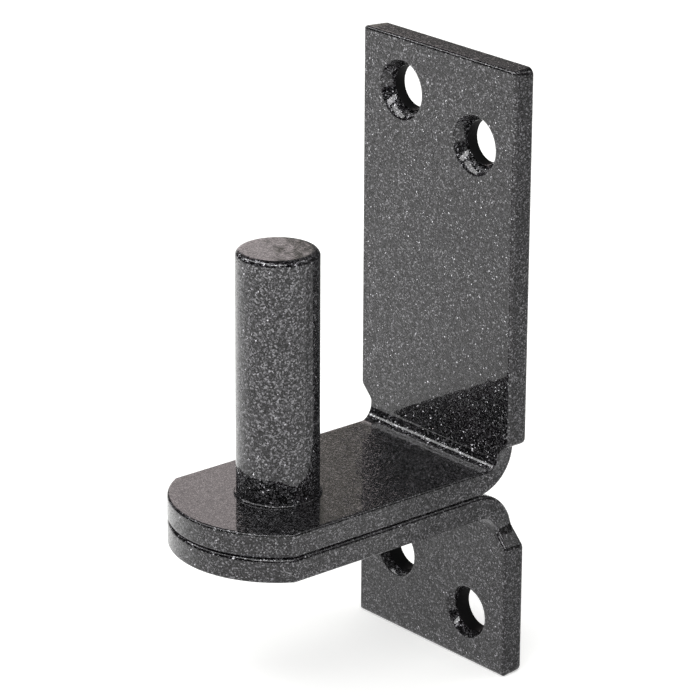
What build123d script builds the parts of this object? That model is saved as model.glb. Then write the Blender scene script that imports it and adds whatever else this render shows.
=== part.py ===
from build123d import *
import math
import os

# Gate hinge pin: an upright pin riveted through the tongues of two angle brackets.
# The origin is on the pin's axis, on the face of the upper tongue that the gate's strap turns on.
# X runs across the bar, Y towards the post that the legs are screwed to, Z up along the pin.
# All sizes are in millimetres.

# Flat bar that both brackets are cropped and folded from
bar_width = 35.0
bar_thickness = 4.0
bend_inside_radius = 3.5

# Reach of the brackets: from the pin's axis to the post, and from the tongue's inner face to a leg's end
post_distance = 36.0
long_leg_length = 65.0
short_leg_length = 27.0

# Tongue: narrower than the bar by a step on each side, with a round nose about the pin's axis
side_step = 2.8
nose_radius = 17.1

# Shoulders that the steps leave just above the bend: a sloping one on one side, a square one on the other
sloping_shoulder_rise = 0.8
sloping_shoulder_angle = 45.0
sloping_run_out_radius = 2.5
square_shoulder_rise = 0.5
square_run_out_radius = 0.35
shoulder_corner_radius = 1.2

# Edges: rounded all along the bar's sides, and only broken where the nose and the leg were cropped
rolled_edge_radius = 1.0
nose_edge_break = 0.3
leg_end_edge_break = 0.2

# Screw holes: two in each leg, staggered, countersunk from the front, less deeply in the short leg
screw_hole_diameter = 7.5
countersink_angle = 60.0
long_leg_countersink_diameter = 9.8
short_leg_countersink_diameter = 9.0
screw_hole_spacing = 17.0
outer_hole_margin = 8.5
inner_hole_margin = 13.5

# Pin: a shoulder that sits on the upper tongue, and a spigot through both tongues, peened over below
pin_diameter = 13.0
pin_height = 39.5
pin_top_radius = 1.0
spigot_diameter = 10.0
rivet_head_diameter = 12.6
rivet_seat_depth = 1.4
rivet_crown_diameter = 9.0
rivet_crown_height = 0.5

# Values that follow from the sizes above
bend_outside_radius = bend_inside_radius + bar_thickness
bend_axis_y = post_distance - bend_outside_radius
leg_front_y = post_distance - bar_thickness
tongue_half_width = bar_width / 2 - side_step
sloping_shoulder_height = bend_inside_radius + sloping_shoulder_rise
square_shoulder_height = bend_inside_radius + square_shoulder_rise
stack_height = 2 * bar_thickness
tool_reach = bar_width + post_distance
nearly_nothing = 0.001


def folded_bar(leg_length):
    """The bar at its full width, folded square: the tongue lies flat and the leg rises at the post."""
    with BuildSketch(Plane.YZ) as section:
        with BuildLine():
            Polyline(
                (bend_axis_y, -bar_thickness), (-tool_reach, -bar_thickness),
                (-tool_reach, 0), (bend_axis_y, 0),
            )
            RadiusArc((bend_axis_y, 0), (leg_front_y, bend_inside_radius), -bend_inside_radius)
            Polyline(
                (leg_front_y, bend_inside_radius), (leg_front_y, leg_length),
                (post_distance, leg_length), (post_distance, bend_inside_radius),
            )
            RadiusArc(
                (post_distance, bend_inside_radius), (bend_axis_y, -bar_thickness), bend_outside_radius,
            )
        make_face()
    return extrude(section.sketch, amount=bar_width / 2, both=True)


def side_crop(side, shoulder_height, slope, run_out_radius):
    """The strip cropped off one side of the bar, up to a shoulder that runs into the tongue's side."""
    run_out_height = shoulder_height - side_step * math.tan(math.radians(slope))
    beyond = shoulder_height + side_step * math.tan(math.radians(slope))
    with BuildSketch(Plane.XZ) as outline:
        with BuildLine():
            Polyline(
                (side * tongue_half_width, run_out_height),
                (side * (tongue_half_width + 2 * side_step), beyond),
                (side * (tongue_half_width + 2 * side_step), -tool_reach),
                (side * tongue_half_width, -tool_reach),
                close=True,
            )
        make_face()
        inner_corner = outline.vertices().sort_by_distance((side * tongue_half_width, run_out_height))[0]
        fillet(inner_corner, run_out_radius)
    return extrude(outline.sketch, amount=tool_reach, both=True)


def nose_crop():
    """Everything in front of the pin's axis that lies outside the round nose."""
    in_front = (Align.CENTER, Align.MAX, Align.CENTER)
    block = Box(2 * tool_reach, 2 * tool_reach, 2 * stack_height, align=in_front)
    return block - Cylinder(nose_radius, 2 * stack_height)


def depth_in_sheet(point):
    """Distance of a point from the outer face of the folded bar, measured through the bar."""
    if point.Z > bend_inside_radius:
        return post_distance - point.Y
    if point.Y < bend_axis_y:
        return point.Z + bar_thickness
    return bend_outside_radius - math.hypot(point.Y - bend_axis_y, point.Z - bend_inside_radius)


def through_the_bar(edge):
    """True for an edge that crosses the bar's thickness."""
    return abs(depth_in_sheet(edge @ 0) - depth_in_sheet(edge @ 1)) > bar_thickness / 2


def straight_across(edge):
    """True for a straight edge that runs across the bar's width."""
    return edge.geom_type == GeomType.LINE and 1 - abs((edge % 0.5).X) < nearly_nothing


def soften_sides(body, leg_length):
    """Rounds the corners of the shoulders, then the edges all along both sides of the bar."""
    at_full_width = bar_width / 2 - nearly_nothing
    shoulder_corners = [
        e for e in body.edges()
        if through_the_bar(e) and abs(e.center().X) > at_full_width and e.center().Z < leg_length / 2
    ]
    body = fillet(shoulder_corners, shoulder_corner_radius)
    sides = [
        e for e in body.edges()
        if not through_the_bar(e)
        and (not straight_across(e) or abs(e.center().Z - square_shoulder_height) < nearly_nothing)
    ]
    return fillet(sides, rolled_edge_radius)


def break_end_edges(body):
    """Takes the sharpness off the edges round the nose and round the end of the leg."""
    nose = body.faces().sort_by(Axis.Y)[0]
    body = chamfer(nose.edges(), nose_edge_break)
    leg_end = body.faces().sort_by(Axis.Z)[-1]
    return chamfer(leg_end.edges(), leg_end_edge_break)


def screw_hole(x, z, countersink_diameter):
    """A clearance hole with its countersink, sunk from the front of a leg."""
    cone_width = (countersink_diameter - screw_hole_diameter) / 2
    cone_depth = cone_width / math.tan(math.radians(countersink_angle / 2))
    front = Plane(origin=(x, leg_front_y, z), x_dir=(1, 0, 0), z_dir=(0, 1, 0))
    towards_post = (Align.CENTER, Align.CENTER, Align.MIN)
    hole = Cylinder(screw_hole_diameter / 2, bar_thickness, align=towards_post)
    sink = Cone(countersink_diameter / 2, screw_hole_diameter / 2, cone_depth, align=towards_post)
    return front * (hole + sink)


def bracket(leg_length, countersink_diameter):
    """An angle bracket: tongue at the bottom with its inner face at height zero, leg upwards."""
    body = folded_bar(leg_length)
    body -= side_crop(-1, sloping_shoulder_height, sloping_shoulder_angle, sloping_run_out_radius)
    body -= side_crop(1, square_shoulder_height, 0, square_run_out_radius)
    body = soften_sides(body, leg_length)
    body -= nose_crop()
    body = break_end_edges(body)
    body -= screw_hole(-screw_hole_spacing / 2, leg_length - outer_hole_margin, countersink_diameter)
    body -= screw_hole(screw_hole_spacing / 2, leg_length - inner_hole_margin, countersink_diameter)
    return body - Cylinder(spigot_diameter / 2, 2 * stack_height)


def rivet_seat():
    """The countersink under the lower tongue that the end of the spigot is peened into."""
    upwards = (Align.CENTER, Align.CENTER, Align.MIN)
    sink = Cone(rivet_head_diameter / 2, spigot_diameter / 2, rivet_seat_depth, align=upwards)
    return Pos(0, 0, -stack_height) * sink


def hinge_pin():
    """The pin, turned from one bar: shank, seating shoulder, spigot, and the head peened below."""
    with BuildPart() as pin:
        with BuildSketch(Plane.XZ):
            with BuildLine():
                RadiusArc(
                    (pin_diameter / 2 - pin_top_radius, pin_height),
                    (pin_diameter / 2, pin_height - pin_top_radius), pin_top_radius,
                )
                Polyline(
                    (pin_diameter / 2, pin_height - pin_top_radius), (pin_diameter / 2, 0),
                    (spigot_diameter / 2, 0), (spigot_diameter / 2, rivet_seat_depth - stack_height),
                    (rivet_head_diameter / 2, -stack_height),
                    (rivet_crown_diameter / 2, -stack_height - rivet_crown_height),
                    (0, -stack_height - rivet_crown_height), (0, pin_height),
                    (pin_diameter / 2 - pin_top_radius, pin_height),
                )
            make_face()
        revolve(axis=Axis.Z)
    return pin.part


upper_bracket = bracket(long_leg_length, long_leg_countersink_diameter)
turned_over = Pos(0, 0, -stack_height) * Rot(0, 180, 0)
lower_bracket = turned_over * bracket(short_leg_length, short_leg_countersink_diameter) - rivet_seat()

os.makedirs("parts", exist_ok=True)
export_step(upper_bracket, "parts/upper_bracket.step")
export_step(lower_bracket, "parts/lower_bracket.step")
export_step(hinge_pin(), "parts/hinge_pin.step")
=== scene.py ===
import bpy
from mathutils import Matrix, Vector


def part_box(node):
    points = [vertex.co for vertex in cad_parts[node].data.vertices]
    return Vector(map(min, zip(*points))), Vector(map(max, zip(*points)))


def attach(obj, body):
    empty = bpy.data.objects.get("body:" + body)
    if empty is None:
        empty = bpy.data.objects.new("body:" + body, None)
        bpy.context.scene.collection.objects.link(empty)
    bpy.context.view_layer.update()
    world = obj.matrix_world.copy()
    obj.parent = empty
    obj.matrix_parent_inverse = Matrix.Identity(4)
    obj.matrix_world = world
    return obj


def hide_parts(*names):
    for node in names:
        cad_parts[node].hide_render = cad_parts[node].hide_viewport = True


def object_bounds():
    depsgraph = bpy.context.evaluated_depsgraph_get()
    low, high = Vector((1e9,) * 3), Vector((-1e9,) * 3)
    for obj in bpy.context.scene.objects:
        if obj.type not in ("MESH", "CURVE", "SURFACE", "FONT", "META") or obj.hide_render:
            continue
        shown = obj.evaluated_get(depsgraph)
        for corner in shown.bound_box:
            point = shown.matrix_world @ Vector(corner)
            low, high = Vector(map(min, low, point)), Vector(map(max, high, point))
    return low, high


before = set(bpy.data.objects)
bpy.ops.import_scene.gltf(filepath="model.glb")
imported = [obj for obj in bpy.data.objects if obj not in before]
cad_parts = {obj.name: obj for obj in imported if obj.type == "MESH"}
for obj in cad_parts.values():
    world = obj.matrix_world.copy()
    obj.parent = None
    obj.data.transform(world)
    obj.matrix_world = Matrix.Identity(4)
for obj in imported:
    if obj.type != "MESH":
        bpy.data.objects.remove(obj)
CAD_BOX = [list(corner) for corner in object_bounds()]

import math
from functools import partial

import bmesh
import bpy
from bpy.props import FloatProperty, FloatVectorProperty, IntProperty, PointerProperty
from mathutils import Matrix, Vector
from mathutils.geometry import delaunay_2d_cdt

bl_info = {
    "name": "Gate Hinge Pin",
    "version": (1, 0, 0),
    "blender": (4, 5, 0),
    "location": "View3D > Sidebar > Hinge Pin",
    "description": "Two cropped and folded bar brackets with a riveted hinge pin, in flake powder coat",
    "category": "Add Mesh",
}

# The object in metres: X across the bar, Y towards the post, Z up along the pin.
# The origin is on the pin's axis, on the upper tongue's face that the gate's strap rests on.
MM = 0.001
NEARLY_NOTHING = 0.001 * MM
ROOT = "root"
# In millimetres, since no box shows it
BAR_THICKNESS = 4.0
UPPER_LOW, UPPER_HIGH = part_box("upper_bracket")
LOWER_LOW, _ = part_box("lower_bracket")
PIN_LOW, PIN_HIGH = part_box("hinge_pin")


def srgb(hex_colour):
    """The linear RGBA that Blender wants for an sRGB colour written as #rrggbb."""
    channels = [int(hex_colour[i:i + 2], 16) / 255 for i in (1, 3, 5)]
    linear = [c / 12.92 if c <= 0.04045 else ((c + 0.055) / 1.055) ** 2.4 for c in channels]
    return (*linear, 1.0)


def length(name, millimetres, description, least=0.0):
    """A length property whose default is given in millimetres."""
    return FloatProperty(
        name=name, description=description, default=millimetres * MM, min=least,
        subtype="DISTANCE", unit="LENGTH", precision=5,
    )


def angle(name, degrees, description):
    """An angle property whose default is given in degrees."""
    return FloatProperty(
        name=name, description=description, default=math.radians(degrees),
        subtype="ANGLE", unit="ROTATION", precision=4,
    )


def colour(name, hex_colour, description):
    """A colour property whose default is given as an sRGB hex value."""
    return FloatVectorProperty(
        name=name, description=description, default=srgb(hex_colour)[:3], size=3,
        min=0.0, max=1.0, subtype="COLOR",
    )


# ---- sizes and looks that a user would change ----

class BracketSizes(bpy.types.PropertyGroup):
    """Sizes of the two folded brackets."""
    bar_width: length("Bar Width", (UPPER_HIGH.x - UPPER_LOW.x) / MM, "Width of the flat bar")
    thickness: length("Thickness", BAR_THICKNESS, "Thickness of the flat bar")
    bend_inside: length("Inside Bend Radius", 2.3, "Radius inside the fold, where the bar thins")
    bend_outside: length("Outside Bend Radius", 7.5, "Radius outside the fold")
    post_distance: length("Post Distance", UPPER_HIGH.y / MM, "From the pin's axis to the post")
    long_leg: length("Long Leg", UPPER_HIGH.z / MM, "From the tongue's face up to the leg's end")
    short_leg: length(
        "Short Leg", -LOWER_LOW.z / MM - 2 * BAR_THICKNESS, "From the tongue's face to the leg's end",
    )
    bend_bulge: length("Bend Bulge", 0.65, "Spread of the squeezed inside of the fold on each side")
    side_step: length("Side Step", 2.8, "How much narrower the tongue is on each side")
    nose_radius: length("Nose Radius", -UPPER_LOW.y / MM, "Radius of the nose about the pin's axis")
    sloping_height: length("Sloping Shoulder", 5.1, "Height where the slope meets the full width")
    sloping_run_out: length("Sloping Run Out", 1.5, "Radius where the slope meets the tongue")
    square_height: length("Square Shoulder", 3.96, "Height of the square shoulder")
    square_run_out: length("Square Run Out", 0.35, "Radius in the inner corner of the square shoulder")
    corner_radius: length("Corner Radius", 1.2, "Radius on the outer corners of the shoulders")
    inner_edge: length("Inner Edge", 0.45, "Radius along the edges of the inner face")
    outer_edge: length("Outer Edge", 0.7, "Radius along the edges of the outer face")
    end_break: length("End Break", 0.55, "Radius on the cropped front edge of a leg's end")
    end_burr: length("End Burr", 0.2, "Radius on the cropped back edge of a leg's end")
    front_corner: length("Front Corner", 0.4, "Radius on the corners of a leg's end, in front")
    back_corner: length("Back Corner", 1.4, "Radius on the corners of a leg's end, behind")
    hole_diameter: length("Hole Diameter", 7.15, "Diameter of the screw holes inside their coat")
    long_sink: length("Long Leg Countersink", 9.5, "Mouth of the long leg's countersinks, coated")
    short_sink: length("Short Leg Countersink", 8.7, "Mouth of the short leg's countersinks, coated")
    hole_spacing: length("Hole Spacing", 17.0, "Distance of the screw holes across the bar")
    outer_margin: length("Outer Margin", 8.5, "From the leg's end to its outer screw hole")
    inner_margin: length("Inner Margin", 13.5, "From the leg's end to its inner screw hole")
    coat_pool: length("Coat Pool", 0.15, "Extra coat that ran together in each screw hole")


class PinSizes(bpy.types.PropertyGroup):
    """Sizes of the hinge pin."""
    diameter: length("Pin Diameter", (PIN_HIGH.x - PIN_LOW.x) / MM, "Diameter for the strap's eye")
    height: length("Pin Height", PIN_HIGH.z / MM, "Height above the tongue")
    top_radius: length("Top Radius", 1.0, "Radius on the top edge")
    spigot: length("Spigot Diameter", 10.0, "Diameter of the part that fills the tongues' holes")
    head: length("Rivet Head Diameter", 12.6, "Diameter of the peened head under the lower tongue")
    head_depth: length("Rivet Head Depth", 1.4, "Depth of the head's countersink")
    crown: length("Crown Diameter", 9.0, "Diameter of the flat on the peened head")
    crown_height: length("Crown Height", 0.5, "Height of the peened head below the tongue")
    foot_bead: length("Foot Bead", 0.4, "Radius of the bead of coat round the pin's foot")


class CoatLook(bpy.types.PropertyGroup):
    """Look of the powder coat."""
    dark: colour("Dark Flakes", "#020202", "Flakes deep in the film")
    mid: colour("Mean Flakes", "#2f2e31", "Flakes halfway down the film")
    pale: colour("Pale Flakes", "#5a595c", "Flakes near the top of the film")
    bright: colour("Bright Flakes", "#929194", "Flakes at the top of the film")
    # The coat in the bores is thin, and its near black is painted shade of the deep bore
    bore: colour("Thin Coat", "#0b0b0c", "The thin coat inside the screw holes")
    # Real flakes are about 0.05 mm wide, and they are drawn as coarse as they need to be to show
    flake: length("Flake Size", 0.2, "Width of one flake on the brackets")
    pin_flake: length("Pin Flake Size", 0.22, "Width of one flake on the pin")


class StageLook(bpy.types.PropertyGroup):
    """Floor, surroundings and camera."""
    floor: colour("Floor", "#f4f4f2", "Colour of the pale floor")
    # Painted shade: the floor behind the object on the right, darker in the gloss only
    painted_shade_floor: colour("Unlit Floor", "#cccccc", "Half-lit floor, as the gloss shows it")
    wall: colour("Wall", "#fff3f3", "Lit wall behind the object, as the gloss shows it")
    screen: colour("Screen", "#85827a", "Half-lit screen beside that wall, as the gloss shows it")
    far_wall: colour("Far Wall", "#5e5d5c", "Unlit end of that wall, as the gloss shows it")
    dark_room: colour("Dark Room", "#2a2a2b", "The unlit rest of the room, as the gloss shows it")
    focal_length: FloatProperty(
        name="Focal Length", description="Focal length in mm", default=194.29, unit="CAMERA",
    )
    azimuth: angle("Azimuth", 49.334, "Camera azimuth about the pin")
    elevation: angle("Elevation", 20.304, "Camera height above the tongue, as an angle")
    roll: angle("Roll", 0.3276, "Camera turn about its own view")
    distance: length("Distance", 578.99, "From the camera to the pin's foot along the view")
    right: length("Right", 10.8051, "Camera offset to the right", least=-1.0)
    up: length("Up", 22.1226, "Camera offset upwards", least=-1.0)
    seed: IntProperty(name="Seed", description="Seed of the coat's small unevenness", default=7)


# ---- small helpers for nodes and meshes ----

MATH, VECTOR_MATH, MAP_RANGE, MIX = (
    "ShaderNodeMath", "ShaderNodeVectorMath", "ShaderNodeMapRange", "ShaderNodeMix",
)
SMOOTH, RGBA = {"interpolation_type": "SMOOTHSTEP"}, {"data_type": "RGBA"}


def add_node(tree, kind, settings=None, *values, **links):
    """Adds a node, sets its properties and inputs, and links the inputs that are given as outputs.

    Settings may be just the name of an operation. Values go to the first inputs in order, and links to
    inputs by name, or by number, as i6. A node that is given for an input means its first output.
    """
    node = tree.nodes.new(kind)
    if isinstance(settings, str):
        settings = {"operation": settings}
    for name, value in (settings or {}).items():
        setattr(node, name, value)
    inputs = dict(enumerate(values))
    for name, value in links.items():
        inputs[int(name[1:]) if name[1:].isdigit() else name.replace("_", " ")] = value
    for key, value in inputs.items():
        if isinstance(value, bpy.types.Node):
            value = value.outputs[0]
        if isinstance(value, bpy.types.NodeSocket):
            tree.links.new(value, node.inputs[key])
        else:
            node.inputs[key].default_value = value
    return node


def tree_inputs(tree, inputs):
    """Gives a geometry tree its geometry sockets and named inputs, and returns its two end nodes."""
    tree.interface.new_socket("Geometry", in_out="OUTPUT", socket_type="NodeSocketGeometry")
    tree.interface.new_socket("Geometry", in_out="INPUT", socket_type="NodeSocketGeometry")
    for name, kind in inputs.items():
        tree.interface.new_socket(name, in_out="INPUT", socket_type=kind)
    return tree.nodes.new("NodeGroupInput"), tree.nodes.new("NodeGroupOutput")


def close_tree(tree, geometry, material, output):
    """Ends a tree in Realize Instances and Set Material, which the export needs."""
    real = add_node(tree, "GeometryNodeRealizeInstances", Geometry=geometry)
    painted = add_node(tree, "GeometryNodeSetMaterial", Geometry=real, Material=material)
    tree.links.new(painted.outputs[0], output.inputs[0])


def run_tree(name, mesh, tree, values):
    """Runs a geometry tree on a mesh and returns an object that holds the plain result."""
    source = bpy.data.objects.new(name, mesh)
    bpy.context.scene.collection.objects.link(source)
    modifier = source.modifiers.new(tree.name, "NODES")
    modifier.node_group = tree
    for item in tree.interface.items_tree:
        if item.in_out == "INPUT" and item.name in values:
            modifier[item.identifier] = values[item.name]
    bpy.context.view_layer.update()
    evaluated = source.evaluated_get(bpy.context.evaluated_depsgraph_get())
    result = bpy.data.meshes.new_from_object(evaluated)
    source.modifiers.remove(modifier)
    source.data = result
    result.name = name
    bpy.data.meshes.remove(mesh)
    return source


def smooth(mesh, crease=38.0):
    """Smooth shading, with the edges sharper than the crease angle kept sharp."""
    mesh.polygons.foreach_set("use_smooth", [True] * len(mesh.polygons))
    mesh.set_sharp_from_angle(angle=math.radians(crease))


def make_mesh(name, points, faces):
    """A mesh of welded points and faces, its faces turned outwards."""
    mesh = bpy.data.meshes.new(name)
    work = bmesh.new()
    vertices = [work.verts.new(p) for p in points]
    for face in faces:
        work.faces.new([vertices[i] for i in face])
    bmesh.ops.recalc_face_normals(work, faces=work.faces)
    work.to_mesh(mesh)
    work.free()
    return mesh


# ---- the flat blank that a bracket is folded from ----

# Steps round the blank's curves
EDGE_STEPS = 8
CORNER_STEPS = 7
RUN_OUT_STEPS = 6
BEND_STEPS = 20
NOSE_STEPS = 56
HOLE_STEPS = 72
# Distances in millimetres: the break of the nose's corners, the least arc of a leg's corners, and
# how far from the curves the points lie that keep the flats level
CORNER_BREAK = 0.12
LEAST_ARC = 0.1
SUPPORT = 0.2
SIDE_STATIONS = (-3.0, 6.0, 16.0)
BEND_MARGIN = 0.25
END_MARGIN = 3.0
RING = 0.4
# The gap in radians between the nose's end stations and its corners
NOSE_GAP = 0.02
# Above the bend the bar's layers come level over a short run, and the bulge dies away in it
RUN = 0.1
RUN_SHARES = (0.2, 0.4, 0.6, 0.8)
BULGE_FADE = 1.5
# Screw holes: the cone, the ring where the coat begins to pool, and the strips of wall in the bore,
# which take the nearly black coat painted as shade
SINK_HALF_ANGLE = math.radians(30)
POOL_FADE = 1.5
POOL_RING = 3
BORE_STRIPS = (5, 6, 7)


class Blank:
    """The flat blank of one bracket, in millimetres.

    A point has x across the bar, s along it, and its depth from the inner face. The rim is a ring of
    stations, each one a cross-section from the inner face round the edge to the outer face. The flats
    between the rim and the holes are triangulated.
    """

    def __init__(self, sizes, leg, sink):
        for name in sizes.__annotations__:
            setattr(self, name, getattr(sizes, name) / MM)
        self.half = self.bar_width / 2
        self.tongue = self.half - self.side_step
        self.rise = self.bend_outside - self.thickness
        self.bend_start = self.post_distance - self.bend_outside
        self.bend_length = (self.bend_outside - self.thickness / 2) * math.pi / 2
        self.bend_end = self.bend_start + self.bend_length
        self.leg = leg
        self.end = self.along(leg)
        self.sink = sink / 2
        self.hole = self.hole_diameter / 2
        self.points = []
        self.faces = []
        self.bores = []
        self.round_side = self.edge_profile(self.inner_edge, self.outer_edge)
        self.round_end = self.edge_profile(self.end_break, self.end_burr)

    def along(self, height):
        """Place along the blank of a height on the leg."""
        return self.bend_end + height - self.rise

    def edge_profile(self, inner, outer):
        """(inset, depth) from the inner face round a side of the bar to the outer face."""
        turns = [math.pi / 2 * j / EDGE_STEPS for j in range(EDGE_STEPS + 1)]
        near = [(inner * (1 - math.sin(a)), inner * (1 - math.cos(a))) for a in turns]
        thick = self.thickness
        far = [(outer * (1 - math.sin(a)), thick - outer * (1 - math.cos(a))) for a in turns[::-1]]
        level = [(0.0, inner + SUPPORT), (0.0, thick - outer - SUPPORT)]
        return [(inner + SUPPORT, 0.0), *near, *level, *far, (outer + SUPPORT, thick)]

    def straight(self, x, s, normal, profile):
        """A station at a point of the outline, square to it."""
        return [(x - normal[0] * i, s - normal[1] * i, d) for i, d in profile]

    def slope_width(self, height):
        """(half width, slope) of the sloping side at a height, with its run-out radius."""
        foot = self.sloping_height - self.side_step
        start = foot - self.sloping_run_out * math.tan(math.pi / 8)
        finish = foot + self.sloping_run_out * math.tan(math.pi / 8) * math.cos(math.pi / 4)
        if height <= start:
            return self.tongue, 0.0
        if height < finish:
            rise = height - start
            fall = math.sqrt(self.sloping_run_out ** 2 - rise ** 2)
            return self.tongue + self.sloping_run_out - fall, rise / fall
        return self.tongue + height - foot, 1.0

    def bend_station(self, side, turn, share=0.0):
        """A station in the bend, or above it at a share of the run up to the level part of the leg.

        The crop runs level through the bar, so the outline follows the depth.
        """
        station = []
        for inset, depth in self.round_side:
            width, slope = self.tongue, 0.0
            radius = self.bend_inside + (self.bend_outside - self.bend_inside) * depth / self.thickness
            height = radius - depth - radius * math.cos(turn)
            height += (self.rise + RUN - height) * share
            if side < 0:
                width, slope = self.slope_width(height)
            squeezed = max(0.0, 1 - 2 * depth / self.thickness)
            swell = self.bend_bulge * squeezed * math.sin(turn) * math.cos(share * BULGE_FADE)
            width = self.tongue + math.hypot(width - self.tongue, swell)
            x = side * (width - inset * math.sqrt(1 + (slope * math.sin(turn)) ** 2))
            s = self.bend_start + turn / (math.pi / 2) * self.bend_length + RUN * share
            station.append((x, s, depth))
        return station

    def nose_corner(self, side):
        """The two stations where the round nose meets a side, its corner only just broken."""
        on_side, on_nose = [], []
        for inset, depth in self.round_side:
            x, radius = self.tongue - inset, self.nose_radius - inset
            turn = math.asin(x / radius)
            on_side.append((side * x, -radius * math.cos(turn) + CORNER_BREAK, depth))
            turn -= CORNER_BREAK / radius
            on_nose.append((side * radius * math.sin(turn), -radius * math.cos(turn), depth))
        return [on_side, on_nose]

    def end_corner(self, side):
        """Stations round a corner of a leg's end, from the rounded side to the cropped end."""
        stations = []
        for j in range(CORNER_STEPS + 1):
            a, share = math.pi / 2 * j / CORNER_STEPS, j / CORNER_STEPS
            station = []
            for (i, d), (cut, low) in zip(self.round_side, self.round_end):
                inset, depth = i + (cut - i) * share, d + (low - d) * share
                growth = (self.back_corner - self.front_corner) * depth / self.thickness
                size = max(self.front_corner + growth, inset + LEAST_ARC)
                x = self.half - size + (size - inset) * math.cos(a)
                station.append((side * x, self.end - size + (size - inset) * math.sin(a), depth))
            stations.append(station)
        return stations

    def square_shoulder(self):
        """Stations up the tongue's right side, over the square shoulder, to the full width."""
        level = self.along(self.square_height)
        run_out = self.square_run_out
        centre = (self.tongue + run_out, level - run_out)
        stations = []
        for j in range(RUN_OUT_STEPS + 1):
            a = math.pi / 2 * j / RUN_OUT_STEPS
            at = (centre[0] - run_out * math.cos(a), centre[1] + run_out * math.sin(a))
            stations.append(self.straight(*at, (math.cos(a), -math.sin(a)), self.round_side))
        centre = (self.half - self.corner_radius, level + self.corner_radius)
        for j in range(EDGE_STEPS + 1):
            a = math.pi / 2 * j / EDGE_STEPS
            n = (math.sin(a), -math.cos(a))
            at = (centre[0] + self.corner_radius * n[0], centre[1] + self.corner_radius * n[1])
            stations.append(self.straight(*at, n, self.round_side))
        return stations

    def sloping_shoulder(self):
        """Stations from the full width down the left side, over the sloping shoulder, to the bend."""
        level = self.along(self.sloping_height)
        centre = (self.corner_radius - self.half, level + self.corner_radius * math.tan(math.pi / 8))
        stations = []
        for j in range(RUN_OUT_STEPS + 1):
            a = math.pi / 4 * j / RUN_OUT_STEPS
            n = (-math.cos(a), -math.sin(a))
            at = (centre[0] + self.corner_radius * n[0], centre[1] + self.corner_radius * n[1])
            stations.append(self.straight(*at, n, self.round_side))
        return stations

    def rim(self):
        """All the stations, from the nose up the right side, across the leg's end and down the left."""
        turns = [math.pi / 2 * k / BEND_STEPS for k in range(BEND_STEPS + 1)]
        sides = [*SIDE_STATIONS, self.bend_start - BEND_MARGIN]
        side, last = self.round_side, self.end - END_MARGIN
        stations = list(reversed(self.nose_corner(1)))
        stations += [self.straight(self.tongue, s, (1, 0), side) for s in sides]
        first = len(stations)
        stations += [self.bend_station(1, t) for t in turns]
        stations += [self.bend_station(1, turns[-1], share) for share in RUN_SHARES]
        stations += self.square_shoulder()
        middle = self.along((self.leg + self.rise) / 2)
        stations += [self.straight(self.half, s, (1, 0), side) for s in (middle, last)]
        stations += self.end_corner(1)
        inner = self.half - END_MARGIN
        stations += [self.straight(x, self.end, (0, 1), self.round_end) for x in (inner, 0, -inner)]
        stations += reversed(self.end_corner(-1))
        stations += [self.straight(-self.half, s, (-1, 0), side) for s in (last, middle)]
        stations += self.sloping_shoulder()
        stations += [self.bend_station(-1, turns[-1], share) for share in reversed(RUN_SHARES)]
        second = len(stations)
        stations += [self.bend_station(-1, t) for t in reversed(turns)]
        stations += [self.straight(-self.tongue, s, (-1, 0), side) for s in reversed(sides)]
        stations += self.nose_corner(-1)
        widest = math.asin((self.tongue - side[-1][0]) / self.nose_radius) - NOSE_GAP
        for j in range(NOSE_STEPS + 1):
            turn = widest * (2 * j / NOSE_STEPS - 1)
            n = (math.sin(turn), -math.cos(turn))
            stations.append(self.straight(self.nose_radius * n[0], self.nose_radius * n[1], n, side))
        crossings = [(first - 1, second + BEND_STEPS + 1)]
        crossings += [(first + k, second + BEND_STEPS - k) for k in range(BEND_STEPS + 1)]
        return stations, crossings

    def add_rim(self):
        """Puts the rim into the mesh and returns the outline of each flat with its crossing lines."""
        stations, crossings = self.rim()
        width = len(stations[0])
        self.points += [p for station in stations for p in station]
        count = len(stations)
        for a in range(count):
            b = (a + 1) % count
            for j in range(width - 1):
                self.faces.append((a * width + j, b * width + j, b * width + j + 1, a * width + j + 1))
        flats = []
        for j in (0, width - 1):
            outline = [a * width + j for a in range(count)]
            flats.append((outline, [(a * width + j, b * width + j) for a, b in crossings]))
        return flats

    def add_hole(self, x, s, profile, pool=0.0, bore=()):
        """A round hole whose wall is a profile of (radius, depth).

        The coat pools on the side nearer the bend, but not on the rings that join the flats.
        """
        first = len(self.points)
        for index, (radius, depth) in enumerate(profile):
            pooled = pool if POOL_RING <= index < len(profile) - 1 else 0.0
            for k in range(HOLE_STEPS):
                a = 2 * math.pi * k / HOLE_STEPS
                r = radius - pooled * max(0.0, -math.sin(a)) ** POOL_FADE
                self.points.append((x + r * math.cos(a), s + r * math.sin(a), depth))
        for j in range(len(profile) - 1):
            if j in bore:
                self.bores += range(len(self.faces), len(self.faces) + HOLE_STEPS)
            for k in range(HOLE_STEPS):
                a, b = first + j * HOLE_STEPS + k, first + j * HOLE_STEPS + (k + 1) % HOLE_STEPS
                self.faces.append((a, b, b + HOLE_STEPS, a + HOLE_STEPS))
        last = first + (len(profile) - 1) * HOLE_STEPS
        return [list(range(start, start + HOLE_STEPS)) for start in (first, last)]

    def screw_profile(self):
        """(radius, depth) down a countersunk screw hole, its edges softened by the coat."""
        deep = (self.sink - self.hole) / math.tan(SINK_HALF_ANGLE)
        soft, thick = 0.14, self.thickness
        mouth = ((0.45, 0.0), (soft, 0.0), (soft * 0.3, soft * 0.3), (-soft * 0.35, soft))
        neck = ((0.12, deep - 0.32), (0.02, deep - 0.02), (-0.04, deep + 0.3))
        back = ((-0.04, thick - 0.25), (0.04, thick - 0.07), (0.2, thick), (0.5, thick))
        return [(self.sink + r, d) for r, d in mouth] + [(self.hole + r, d) for r, d in neck + back]

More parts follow.
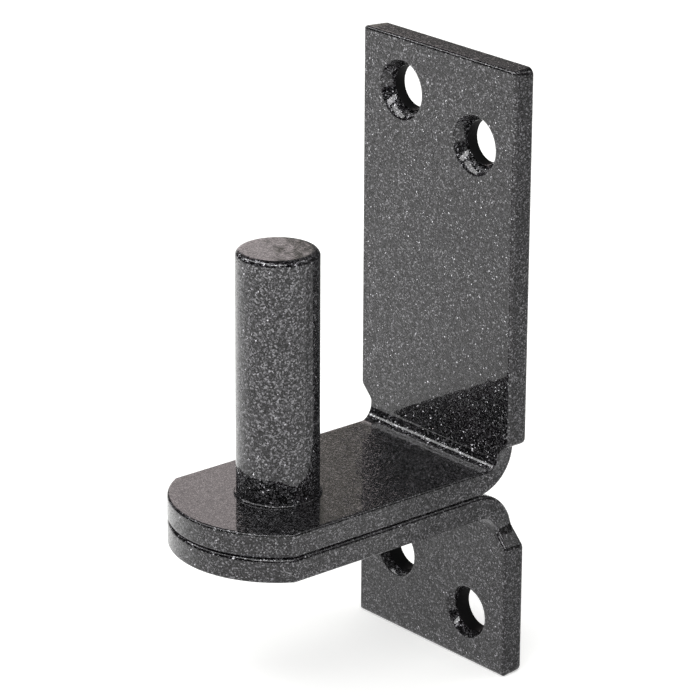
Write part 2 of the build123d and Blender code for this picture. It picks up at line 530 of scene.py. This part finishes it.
    def add_flat(self, outline, crossings, holes):
        """Triangulates one flat between its outline and its holes, split along the crossing lines."""
        ids = list(outline) + [i for ring in holes for i in ring]
        place = {index: k for k, index in enumerate(ids)}
        flat = [Vector(self.points[i][:2]) for i in ids]
        loops = [outline] + holes
        edges = [(place[loop[k - 1]], place[loop[k]]) for loop in loops for k in range(len(loop))]
        edges += [(place[a], place[b]) for a, b in crossings]
        inside_only, weld = 1, 1e-5
        co, _, faces, origins, _, _ = delaunay_2d_cdt(flat, edges, [], inside_only, weld)
        centres = []
        for ring in holes:
            x = sum(self.points[i][0] for i in ring) / len(ring)
            s = sum(self.points[i][1] for i in ring) / len(ring)
            reach = math.hypot(self.points[ring[0]][0] - x, self.points[ring[0]][1] - s)
            centres.append((x, s, reach))
        for face in faces:
            x, s = (sum(co[v][axis] for v in face) / len(face) for axis in (0, 1))
            if all(math.hypot(x - cx, s - cs) > reach for cx, cs, reach in centres):
                self.faces.append([ids[origins[v][0]] for v in face])

    def mesh(self, name, tongue_hole):
        """The whole blank as a mesh in metres, lying as the tongue does, inner face at height zero."""
        rims = self.add_rim()
        rings = [self.add_hole(0.0, 0.0, tongue_hole)]
        for side, margin in ((-1, self.outer_margin), (1, self.inner_margin)):
            at = (side * self.hole_spacing / 2, self.end - margin)
            rings.append(self.add_hole(*at, self.screw_profile(), self.coat_pool, BORE_STRIPS))
        for face in (0, 1):
            outline, crossings = rims[face]
            self.add_flat(outline, crossings, [ring[face] for ring in rings])
        mesh = make_mesh(name, [(x * MM, s * MM, -d * MM) for x, s, d in self.points], self.faces)
        # The bore's faces, which take the thin coat made nearly black as painted shade
        thin = mesh.attributes.new("thin_coat_painted_shade", "BOOLEAN", "FACE")
        for index in self.bores:
            thin.data[index].value = True
        return mesh


def fold_tree():
    """Geometry tree that folds a flat blank square, tight inside the fold and easy outside it."""
    tree = bpy.data.node_groups.new("Fold Bar", "GeometryNodeTree")
    add = partial(add_node, tree)
    sizes = ("Bend Start", "Bend Length", "Run", "Inside Radius", "Outside Radius", "Thickness",
             "Leg Front", "Turned Over", "Stack Height")
    start, output = tree_inputs(tree, {
        **{name: "NodeSocketFloat" for name in sizes},
        "Material": "NodeSocketMaterial", "Bore Material": "NodeSocketMaterial",
    })
    begin, full, run, inside, outside, thick, front, over, stack = (start.outputs[n] for n in sizes)
    place = add("GeometryNodeInputPosition")
    x, s, z = add("ShaderNodeSeparateXYZ", i0=place).outputs
    past = add(MATH, "SUBTRACT", s, begin)
    depth = add(MATH, "MULTIPLY", z, -1.0)
    # In the bend each layer of the bar turns at its own radius
    share = add(MATH, "DIVIDE", depth, thick)
    spread = add(MATH, "SUBTRACT", outside, inside)
    radius = add(MATH, "MULTIPLY_ADD", share, spread, inside)
    turn = add(MATH, "MULTIPLY", add(MATH, "DIVIDE", past, full), math.pi / 2)
    leg_y = add(MATH, "ADD", front, depth)
    centre = add(MATH, "SUBTRACT", leg_y, radius)
    bent_y = add(MATH, "MULTIPLY_ADD", radius, add(MATH, "SINE", turn), centre)
    fall = add(MATH, "MULTIPLY", radius, add(MATH, "COSINE", turn))
    layer = add(MATH, "SUBTRACT", radius, depth)
    bent_z = add(MATH, "SUBTRACT", layer, fall)
    bent = add("ShaderNodeCombineXYZ", i0=x, i1=bent_y, i2=bent_z)
    # Above the bend the layers come level over the run
    above = add(MATH, "SUBTRACT", past, full)
    rise = add(MATH, "SUBTRACT", outside, thick)
    level = add(MATH, "ADD", above, rise)
    done = add(MATH, "MINIMUM", add(MATH, "DIVIDE", above, run), 1.0)
    lag = add(MATH, "SUBTRACT", rise, layer)
    left = add(MATH, "MULTIPLY", lag, add(MATH, "SUBTRACT", 1.0, done))
    leg_z = add(MATH, "SUBTRACT", level, left)
    leg = add("ShaderNodeCombineXYZ", i0=x, i1=leg_y, i2=leg_z)
    folded = place
    for limit, target in ((0.0, bent), (add(MATH, "ADD", full, NEARLY_NOTHING), leg)):
        beyond = add(MATH, "GREATER_THAN", past, limit)
        folded = add("GeometryNodeSwitch", {"input_type": "VECTOR"}, beyond, folded, target)
    moved = add("GeometryNodeSetPosition", Geometry=start.outputs["Geometry"], Position=folded)
    # The lower bracket is turned over, and drops by the stack's height
    half_turn = add(MATH, "MULTIPLY", over, math.pi)
    lift = add(MATH, "MULTIPLY", add(MATH, "MULTIPLY", over, -1.0), stack)
    shift, rotation = add("ShaderNodeCombineXYZ", i2=lift), add("ShaderNodeCombineXYZ", i1=half_turn)
    turned = add("GeometryNodeTransform", Geometry=moved, Translation=shift, Rotation=rotation)
    real = add("GeometryNodeRealizeInstances", Geometry=turned)
    coated = add("GeometryNodeSetMaterial", Geometry=real, Material=start.outputs["Material"])
    # The bore's faces take the thin coat, nearly black as painted shade of the bore
    thin = add("GeometryNodeInputNamedAttribute", {"data_type": "BOOLEAN"}, Name="thin_coat_painted_shade")
    bores = add("GeometryNodeSetMaterial", Geometry=coated, Selection=thin,
                Material=start.outputs["Bore Material"])
    tree.links.new(bores.outputs[0], output.inputs[0])
    return tree


# Sides of a bead's section, and how often it swells per metre
BEAD_SIDES = 12
BEAD_LUMPS = 350.0


def bead_tree():
    """Geometry tree that lays a bead of coat along a path, lumpy at about 3 mm from lump to lump."""
    tree = bpy.data.node_groups.new("Coat Bead", "GeometryNodeTree")
    add = partial(add_node, tree)
    start, output = tree_inputs(tree, {
        "Radius": "NodeSocketFloat", "Unevenness": "NodeSocketFloat", "Seed": "NodeSocketFloat",
        "Material": "NodeSocketMaterial",
    })
    path = add("GeometryNodeMeshToCurve", Mesh=start.outputs["Geometry"])
    noise = add("ShaderNodeTexNoise", {"noise_dimensions": "4D"},
                W=start.outputs["Seed"], Scale=BEAD_LUMPS, Detail=1.0)
    swing = add(MATH, "MULTIPLY_ADD", noise, 2.0, -1.0)
    scale = add(MATH, "MULTIPLY_ADD", swing, start.outputs["Unevenness"], 1.0)
    radius = add(MATH, "MULTIPLY", scale, start.outputs["Radius"])
    ring = add("GeometryNodeCurvePrimitiveCircle", Resolution=BEAD_SIDES, Radius=1.0)
    tube = add("GeometryNodeCurveToMesh", Curve=path, Profile_Curve=ring, Scale=radius, Fill_Caps=True)
    close_tree(tree, tube, start.outputs["Material"], output)
    return tree


def path_mesh(name, points, closed):
    """A mesh of one line through the points, for a tree that follows it."""
    mesh = bpy.data.meshes.new(name)
    edges = [(i, i + 1) for i in range(len(points) - 1)] + ([(len(points) - 1, 0)] if closed else [])
    mesh.from_pydata([[c * MM for c in p] for p in points], edges, [])
    return mesh


# ---- materials ----

# How each coat is sprayed: which of the flake sizes it has, the share of flakes that lie buried in
# the film, how far the others stand up, and the strength of the film's orange peel
COATS = {
    "bracket_flake_powder_coat": {"size": "flake", "buried": 0.3, "stand_up": 2.3, "orange_peel": 0.25},
    "pin_flake_powder_coat": {"size": "pin_flake", "buried": 0.17, "stand_up": 3.0, "orange_peel": 0.4},
}
# Orange peel: the film's own shallow waves
PEEL_WAVE = 2.5 * MM
PEEL_DEPTH = 0.1 * MM


def flake_coat(name, look, size, buried, stand_up, orange_peel):
    """Metallic-flake powder coat, sprayed and baked on steel.

    Small bright flakes lie at slightly different angles under a clear glossy film. The eye sees a dark
    grey that sparkles grain by grain, with sharp mirror reflections in the film above it.
    """
    material = bpy.data.materials.new(name)
    material.use_nodes = True
    tree = material.node_tree
    tree.nodes.clear()
    add = partial(add_node, tree)
    place = add("ShaderNodeTexCoord").outputs["Object"]
    scale = 1 / getattr(look, size)
    grains = add("ShaderNodeTexVoronoi", {"feature": "F1"}, Vector=place, Scale=scale).outputs["Color"]
    brightness, _, lift = add("ShaderNodeSeparateColor", Color=grains).outputs
    ramp = add("ShaderNodeValToRGB", i0=brightness)
    stops = ramp.color_ramp.elements
    stops[0].position, stops[0].color = buried, (*look.dark, 1)
    stops[1].position, stops[1].color = 1.0, (*look.bright, 1)
    for position, shade in ((buried + 0.3, look.mid), (buried + 0.5, look.pale)):
        stops.new(position).color = (*shade, 1)
    # Most flakes lie flat in the film, and a few stand up and glint on their own
    centred = add(VECTOR_MATH, "SUBTRACT", grains, (0.5, 0.5, 0.5))
    stand = add(MATH, "MULTIPLY", add(MATH, "POWER", lift, 2.0), stand_up)
    tilt = add(VECTOR_MATH, "SCALE", centred, Scale=stand)
    facing = add("ShaderNodeNewGeometry").outputs["Normal"]
    tilted = add(VECTOR_MATH, "ADD", facing, tilt)
    flake_normal = add(VECTOR_MATH, "NORMALIZE", tilted)
    waves = add("ShaderNodeTexNoise", Vector=place, Scale=1 / PEEL_WAVE, Detail=1.0)
    peel = add("ShaderNodeBump", Height=waves, Strength=orange_peel, Distance=PEEL_DEPTH)
    shader = add(
        "ShaderNodeBsdfPrincipled", Base_Color=ramp, Metallic=0.8, Roughness=0.24, Normal=flake_normal,
        Coat_Weight=1.0, Coat_Roughness=0.035, Coat_IOR=1.5, Coat_Normal=peel,
    )
    end = add("ShaderNodeOutputMaterial")
    tree.links.new(shader.outputs[0], end.inputs[0])
    return material


def coat(name):
    """The named coat, made once and shared by its pieces."""
    look = bpy.context.scene.hinge_coat
    return bpy.data.materials.get(name) or flake_coat(name, look, **COATS[name])


def thin_coat_painted_shade(look):
    """Powder coat inside a bore, where little powder reaches: a thin, rough skin, made nearly black as
    painted shade of the bore.
    """
    material = bpy.data.materials.new("bore_thin_coat_painted_shade")
    material.use_nodes = True
    shader = material.node_tree.nodes["Principled BSDF"]
    shader.inputs["Base Color"].default_value = (*look.bore, 1)
    shader.inputs["Roughness"].default_value = 0.7
    shader.inputs["Specular IOR Level"].default_value = 0.2
    return material


# The floor as the gloss shows it. Behind the object on the right it is darker, painted shade of a
# half-lit floor, past an azimuth with a soft edge, and from the middle of the legs on.
HALF_LIT_FROM = math.radians(41)
HALF_LIT_EDGE = 0.07
HALF_LIT_BEHIND = 34 * MM
# Elsewhere, in the gloss, painted light stands in for a share of its paint, so its shadows are pale.
# Both have a value far from the pin's foot and a gain near it.
NEAR, FAR = 60 * MM, 100 * MM
EVEN_FAR, EVEN_GAIN = 0.45, 0.4
GLOW_FAR, GLOW_GAIN = 0.55, 0.15
# To the camera it is a little brighter than its paint, so that it meets the white background
CAMERA_GLOW = 0.45


def floor_paint(look):
    """Matt emulsion on a studio floor: pale, without gloss, so that only the soft shadow shows. In the
    gloss it carries painted shade behind on the right, and painted light that pales its shadows.
    """
    material = bpy.data.materials.new("floor_matt_emulsion")
    material.use_nodes = True
    tree = material.node_tree
    add = partial(add_node, tree)
    inputs = tree.nodes["Principled BSDF"].inputs
    inputs["Roughness"].default_value = 0.9
    inputs["Specular IOR Level"].default_value = 0.1
    inputs["Emission Color"].default_value = (1, 1, 1, 1)
    rays = add("ShaderNodeLightPath").outputs
    glossy = rays["Is Glossy Ray"]
    place = add("ShaderNodeTexCoord").outputs["Object"]
    away = add(VECTOR_MATH, "NORMALIZE", place)
    edge = (-math.sin(HALF_LIT_FROM), math.cos(HALF_LIT_FROM), 0.0)
    past = add(VECTOR_MATH, "DOT_PRODUCT", away, edge).outputs["Value"]
    beyond = add(MAP_RANGE, SMOOTH, past, -HALF_LIT_EDGE, HALF_LIT_EDGE)
    across, back, _ = add("ShaderNodeSeparateXYZ", i0=place).outputs
    right = add(MATH, "GREATER_THAN", across, 0.0)
    behind = add(MATH, "GREATER_THAN", back, HALF_LIT_BEHIND)
    zone = add(MATH, "MULTIPLY", beyond, add(MATH, "MULTIPLY", right, behind))
    # Painted shade: in the gloss the half-lit zone takes the darker floor colour
    unlit = add(MATH, "MULTIPLY", zone, glossy)
    shade = add(MIX, RGBA, unlit, i6=(*look.floor, 1), i7=(*look.painted_shade_floor, 1)).outputs[2]
    lit = add(MATH, "SUBTRACT", glossy, unlit)
    # Painted light: in the gloss the floor gives off light in place of a share of its colour, more near
    # the pin's foot, so shadows there turn pale
    gap = add(VECTOR_MATH, "LENGTH", place).outputs["Value"]
    near = add(MAP_RANGE, SMOOTH, gap, NEAR, FAR, 1.0, 0.0)
    part = add(MATH, "MULTIPLY_ADD", near, EVEN_GAIN, EVEN_FAR)
    part = add(MATH, "MULTIPLY", lit, part)
    even = add(MIX, RGBA, part, i6=shade, i7=(0, 0, 0, 1)).outputs[2]
    painted_glow = add(MATH, "MULTIPLY_ADD", near, GLOW_GAIN, GLOW_FAR)
    painted_glow = add(MATH, "MULTIPLY", lit, painted_glow)
    seen = add(MATH, "MAXIMUM", rays["Is Camera Ray"], rays["Is Transmission Ray"])
    shown = add(MATH, "MULTIPLY_ADD", seen, CAMERA_GLOW, painted_glow)
    tree.links.new(even, inputs["Base Color"])
    tree.links.new(shown.outputs[0], inputs["Emission Strength"])
    return material


# ---- one operator for each piece ----

def dress(piece, slot, *nodes):
    """Hands a finished piece to the frame."""
    smooth(piece.data)
    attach(piece, ROOT)
    if nodes:
        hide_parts(*nodes)


class HINGE_OT_brackets(bpy.types.Operator):
    """Make both brackets: a flat blank each, folded by the same tree"""
    bl_idname = "hinge.brackets"
    bl_label = "Folded Brackets"

    def execute(self, context):
        sizes, pin = context.scene.hinge_brackets, context.scene.hinge_pin
        thick, spigot = sizes.thickness / MM, pin.spigot / MM / 2
        plain = [(spigot + RING, 0.0), (spigot, 0.0), (spigot, thick), (spigot + RING, thick)]
        head, deep = pin.head / MM / 2, pin.head_depth / MM
        seat = [
            (spigot + RING, 0.0), (spigot, 0.0), (spigot, thick - deep),
            ((spigot + head) / 2, thick - deep / 2), (head, thick), (head + RING, thick),
        ]
        lower_hole = [(r, thick - d) for r, d in reversed(seat)]
        tree, bore = fold_tree(), thin_coat_painted_shade(context.scene.hinge_coat)
        for name, leg, sink, hole, over in (
            ("upper_folded_bracket", sizes.long_leg, sizes.long_sink, plain, 0.0),
            ("lower_folded_bracket", sizes.short_leg, sizes.short_sink, lower_hole, 1.0),
        ):
            blank = Blank(sizes, leg / MM, sink / MM)
            mesh = blank.mesh(name, hole)
            piece = run_tree(name, mesh, tree, {
                "Bend Start": blank.bend_start * MM, "Bend Length": blank.bend_length * MM,
                "Inside Radius": sizes.bend_inside, "Outside Radius": sizes.bend_outside,
                "Thickness": sizes.thickness, "Leg Front": sizes.post_distance - sizes.thickness,
                "Run": RUN * MM, "Turned Over": over, "Stack Height": 2 * sizes.thickness,
                "Material": coat("bracket_flake_powder_coat"), "Bore Material": bore,
            })
            dress(piece, "bracket_coat", name.split("_")[0] + "_bracket")
        return {"FINISHED"}


def lathe(name, profile, steps):
    """A solid turned about the pin's axis from (radius, height) points, on the axis at both ends."""
    points = [(0.0, 0.0, profile[0][1])]
    for radius, height in profile[1:-1]:
        angles = [2 * math.pi * k / steps for k in range(steps)]
        points += [(radius * math.cos(a), radius * math.sin(a), height) for a in angles]
    points.append((0.0, 0.0, profile[-1][1]))
    faces, last = [], len(points) - 1
    rings = len(profile) - 2
    for k in range(steps):
        n = (k + 1) % steps
        faces.append((0, 1 + k, 1 + n))
        for j in range(rings - 1):
            a = 1 + j * steps
            faces.append((a + k, a + steps + k, a + steps + n, a + n))
        a = 1 + (rings - 1) * steps
        faces.append((last, a + n, a + k))
    return make_mesh(name, [[c * MM for c in p] for p in points], faces)


TOP_STEPS = 10
PIN_STEPS = 120
# Rings this far from the pin's edges keep its flats level
PIN_SUPPORT = 0.3


class HINGE_OT_pin(bpy.types.Operator):
    """Turn the pin: shank, seating shoulder, spigot and the head peened over below"""
    bl_idname = "hinge.pin"
    bl_label = "Turned Pin"

    def execute(self, context):
        sizes = context.scene.hinge_pin
        stack = 2 * context.scene.hinge_brackets.thickness / MM
        radius, top, soft = sizes.diameter / MM / 2, sizes.height / MM, sizes.top_radius / MM
        spigot, head, deep = sizes.spigot / MM / 2, sizes.head / MM / 2, sizes.head_depth / MM
        crown, rise = sizes.crown / MM / 2, sizes.crown_height / MM
        profile = [(0.0, top), (radius / 3, top), (radius - soft - PIN_SUPPORT, top)]
        for j in range(TOP_STEPS + 1):
            a = math.pi / 2 * j / TOP_STEPS
            profile.append((radius - soft * (1 - math.sin(a)), top - soft * (1 - math.cos(a))))
        profile += [
            (radius, top - soft - PIN_SUPPORT), (radius, top / 2), (radius, PIN_SUPPORT), (radius, 0.0),
            (spigot, 0.0), (spigot, deep - stack), (head, -stack),
        ]
        # The peened head rounds over from its countersink to the flat crown
        profile += [
            (head - 0.35, -stack - 0.14), (crown + 0.3, -stack - rise + 0.06),
            (crown - 0.2, -stack - rise), (crown / 2, -stack - rise), (0.0, -stack - rise),
        ]
        mesh = lathe("hinge_pin_turned", profile, PIN_STEPS)
        mesh.materials.append(coat("pin_flake_powder_coat"))
        piece = bpy.data.objects.new("hinge_pin_turned", mesh)
        context.scene.collection.objects.link(piece)
        dress(piece, "pin_coat", "hinge_pin")
        return {"FINISHED"}


BEAD_STEPS = 160
BEAD_UNEVENNESS = 0.35
# The pool in the sloping shoulder: its radius next to the bead's, and where its line of points lies
POOL_SHARE = 0.7
POOL_DEPTH = 0.6
POOL_CORNER = 1.9
POOL_POINTS = [t - 0.4 for t in (0.0, 0.3, 0.6, 0.9)]


class HINGE_OT_beads(bpy.types.Operator):
    """Lay the coat that ran together: a bead round the pin's foot and a pool in the lower shoulder"""
    bl_idname = "hinge.beads"
    bl_label = "Coat Beads"

    def execute(self, context):
        pin, sizes = context.scene.hinge_pin, context.scene.hinge_brackets
        seed, tree = context.scene.hinge_stage.seed, bead_tree()
        radius = pin.diameter / MM / 2
        around = [2 * math.pi * k / BEAD_STEPS for k in range(BEAD_STEPS)]
        ring = [(radius * math.cos(a), radius * math.sin(a), 0.0) for a in around]
        front = (sizes.post_distance - sizes.thickness) / MM + POOL_DEPTH
        out = sizes.bar_width / MM / 2 - POOL_CORNER
        down = -(2 * sizes.thickness + sizes.sloping_height) / MM + POOL_CORNER
        run = [(out + t, front, down - t) for t in POOL_POINTS]
        for name, points, closed, size, start in (
            ("pin_foot_coat_bead", ring, True, pin.foot_bead, seed),
            ("lower_shoulder_coat_pool", run, False, pin.foot_bead * POOL_SHARE, seed + 1),
        ):
            piece = run_tree(name, path_mesh(name, points, closed), tree, {
                "Radius": size, "Unevenness": BEAD_UNEVENNESS, "Seed": float(start),
                "Material": coat("bracket_flake_powder_coat"),
            })
            dress(piece, "bracket_coat")
        return {"FINISHED"}


# Each lamp's size in metres, power in watts, place, and the point that it is aimed at
LAMPS = {
    "overhead_soft_box": ((1.25, 0.32), 5.4, (-0.525, -0.44, 0.85), (-0.525, -0.44, 0.0)),
    "front_soft_box": ((0.8, 0.25), 3.9, (0.49, -0.42, 0.77), (0.0, 0.0, 0.02)),
    "back_soft_box": ((0.5, 0.5), 0.7, (0.36, 0.63, 0.75), (0.0, 0.0, 0.02)),
}
# Metres from the pin to each edge of the floor
FLOOR_REACH = 6.0
# The room in the gloss, by the direction seen: across the camera's view, turned a little, the wall
# gives way to the screen and that to the far wall. The lit part reaches so far round and so high.
WALL_TURN = math.radians(0.95)
SCREEN_EDGE, FAR_WALL_EDGE = (-0.008, 0.008), (0.016, 0.022)
LIT_ROUND, LIT_TOP, HORIZON = (0.3, 0.45), (0.42, 0.5), (-0.02, 0.02)
GLOSS_STRENGTH = 1.1
WORLD_STRENGTH = 0.5


class HINGE_OT_stage(bpy.types.Operator):
    """Set the pale floor, the soft studio light and the camera"""
    bl_idname = "hinge.stage"
    bl_label = "Studio Stage"

    def execute(self, context):
        look = context.scene.hinge_stage
        around = ((-1, -1), (1, -1), (1, 1), (-1, 1))
        corners = [(FLOOR_REACH * x, FLOOR_REACH * y, CAD_BOX[0][2]) for x, y in around]
        mesh = bpy.data.meshes.new("studio_floor")
        mesh.from_pydata(corners, [], [(0, 1, 2, 3)])
        mesh.materials.append(floor_paint(look))
        floor = bpy.data.objects.new("studio_floor", mesh)
        context.scene.collection.objects.link(floor)
        self.light(context)
        self.surround(context, look)
        self.camera(context, look)
        context.scene.view_settings.view_transform = "Standard"
        return {"FINISHED"}

    def light(self, context):
        """Soft boxes: a long one overhead on the left, one above the camera, one faint on the right."""
        for name, (size, watts, place, aim) in LAMPS.items():
            lamp = bpy.data.lights.new(name, "AREA")
            lamp.shape, lamp.energy = "RECTANGLE", watts
            lamp.size, lamp.size_y = size
            holder = bpy.data.objects.new(name, lamp)
            holder.location = place
            holder.rotation_euler = (Vector(aim) - holder.location).to_track_quat("-Z", "Y").to_euler()
            context.scene.collection.objects.link(holder)

    def surround(self, context, look):
        """A white room to the camera, and in the gloss a lit wall, a screen beside it, a dark rest."""
        world = bpy.data.worlds.new("white_room")
        context.scene.world = world
        world.use_nodes = True
        tree = world.node_tree
        tree.nodes.clear()
        add = partial(add_node, tree)
        rays = add("ShaderNodeLightPath").outputs
        glossy = rays["Is Glossy Ray"]
        towards = add("ShaderNodeTexCoord").outputs["Generated"]
        _, behind, height = add("ShaderNodeSeparateXYZ", i0=towards).outputs
        turn = look.azimuth + WALL_TURN
        along = (math.cos(turn), math.sin(turn), 0.0)
        across = add(VECTOR_MATH, "DOT_PRODUCT", towards, along).outputs["Value"]
        room = (*look.wall, 1)
        for edge, shade in ((SCREEN_EDGE, look.screen), (FAR_WALL_EDGE, look.far_wall)):
            part = add(MAP_RANGE, SMOOTH, across, *edge)
            room = add(MIX, RGBA, part, i6=room, i7=(*shade, 1)).outputs[2]
        high = add(MATH, "SUBTRACT", 1.0, add(MAP_RANGE, SMOOTH, height, *LIT_TOP))
        lit = add(MATH, "MULTIPLY", add(MAP_RANGE, SMOOTH, behind, *LIT_ROUND), high)
        below = add(MATH, "SUBTRACT", 1.0, add(MAP_RANGE, SMOOTH, height, *HORIZON))
        dark = add(MATH, "SUBTRACT", 1.0, add(MATH, "MAXIMUM", lit, below))
        plain = add(MATH, "SUBTRACT", 1.0, glossy)
        for part, shade in ((dark, look.dark_room), (plain, (1, 1, 1))):
            room = add(MIX, RGBA, part, i6=room, i7=(*shade, 1)).outputs[2]
        white = add(MATH, "MAXIMUM", rays["Is Camera Ray"], rays["Is Transmission Ray"])
        gloss = add(MATH, "MULTIPLY", glossy, GLOSS_STRENGTH)
        white = add(MATH, "MAXIMUM", white, gloss)
        strength = add(MATH, "MAXIMUM", white, WORLD_STRENGTH)
        light = add("ShaderNodeBackground", Color=room, Strength=strength)
        end = add("ShaderNodeOutputWorld")
        tree.links.new(light.outputs[0], end.inputs[0])

    def camera(self, context, look):
        """The camera that the photograph was taken with, found from the object's own edges."""
        a, e, r = look.azimuth, look.elevation, look.roll
        back = Vector((math.sin(a) * math.cos(e), -math.cos(a) * math.cos(e), math.sin(e)))
        right = Vector((math.cos(a), math.sin(a), 0.0))
        up = back.cross(right)
        rolled_right = math.cos(r) * right + math.sin(r) * up
        rolled_up = math.cos(r) * up - math.sin(r) * right
        lens = bpy.data.cameras.new("studio_camera")
        lens.lens, lens.sensor_width, lens.clip_start = look.focal_length, 36.0, 0.01
        camera = bpy.data.objects.new("studio_camera", lens)
        place = rolled_right * look.right + rolled_up * look.up + back * look.distance
        turn = Matrix((rolled_right, rolled_up, back)).transposed().to_4x4()
        camera.matrix_world = Matrix.Translation(place) @ turn
        context.scene.collection.objects.link(camera)
        context.scene.camera = camera


class HINGE_PT_panel(bpy.types.Panel):
    """The hinge pin's sizes, looks and steps"""
    bl_idname = "HINGE_PT_panel"
    bl_label = "Gate Hinge Pin"
    bl_space_type = "VIEW_3D"
    bl_region_type = "UI"
    bl_category = "Hinge Pin"

    def draw(self, context):
        for group, step in (
            ("hinge_brackets", "hinge.brackets"), ("hinge_pin", "hinge.pin"),
            ("hinge_coat", "hinge.beads"), ("hinge_stage", "hinge.stage"),
        ):
            values = getattr(context.scene, group)
            column = self.layout.box().column()
            for name in values.__annotations__:
                column.prop(values, name)
            column.operator(step)


CLASSES = (
    BracketSizes, PinSizes, CoatLook, StageLook,
    HINGE_OT_brackets, HINGE_OT_pin, HINGE_OT_beads, HINGE_OT_stage, HINGE_PT_panel,
)
GROUPS = {
    "hinge_brackets": BracketSizes, "hinge_pin": PinSizes,
    "hinge_coat": CoatLook, "hinge_stage": StageLook,
}


def register():
    """Registers the classes and hangs the sizes and looks on the scene."""
    for item in CLASSES:
        bpy.utils.register_class(item)
    for name, group in GROUPS.items():
        setattr(bpy.types.Scene, name, PointerProperty(type=group))


def unregister():
    """Takes away all that register adds."""
    for name in GROUPS:
        delattr(bpy.types.Scene, name)
    for item in reversed(CLASSES):
        bpy.utils.unregister_class(item)


def main():
    """Makes the hinge pin and its stage."""
    register()
    bpy.ops.hinge.brackets()
    bpy.ops.hinge.pin()
    bpy.ops.hinge.beads()
    bpy.ops.hinge.stage()


if __name__ == "__main__":
    main()
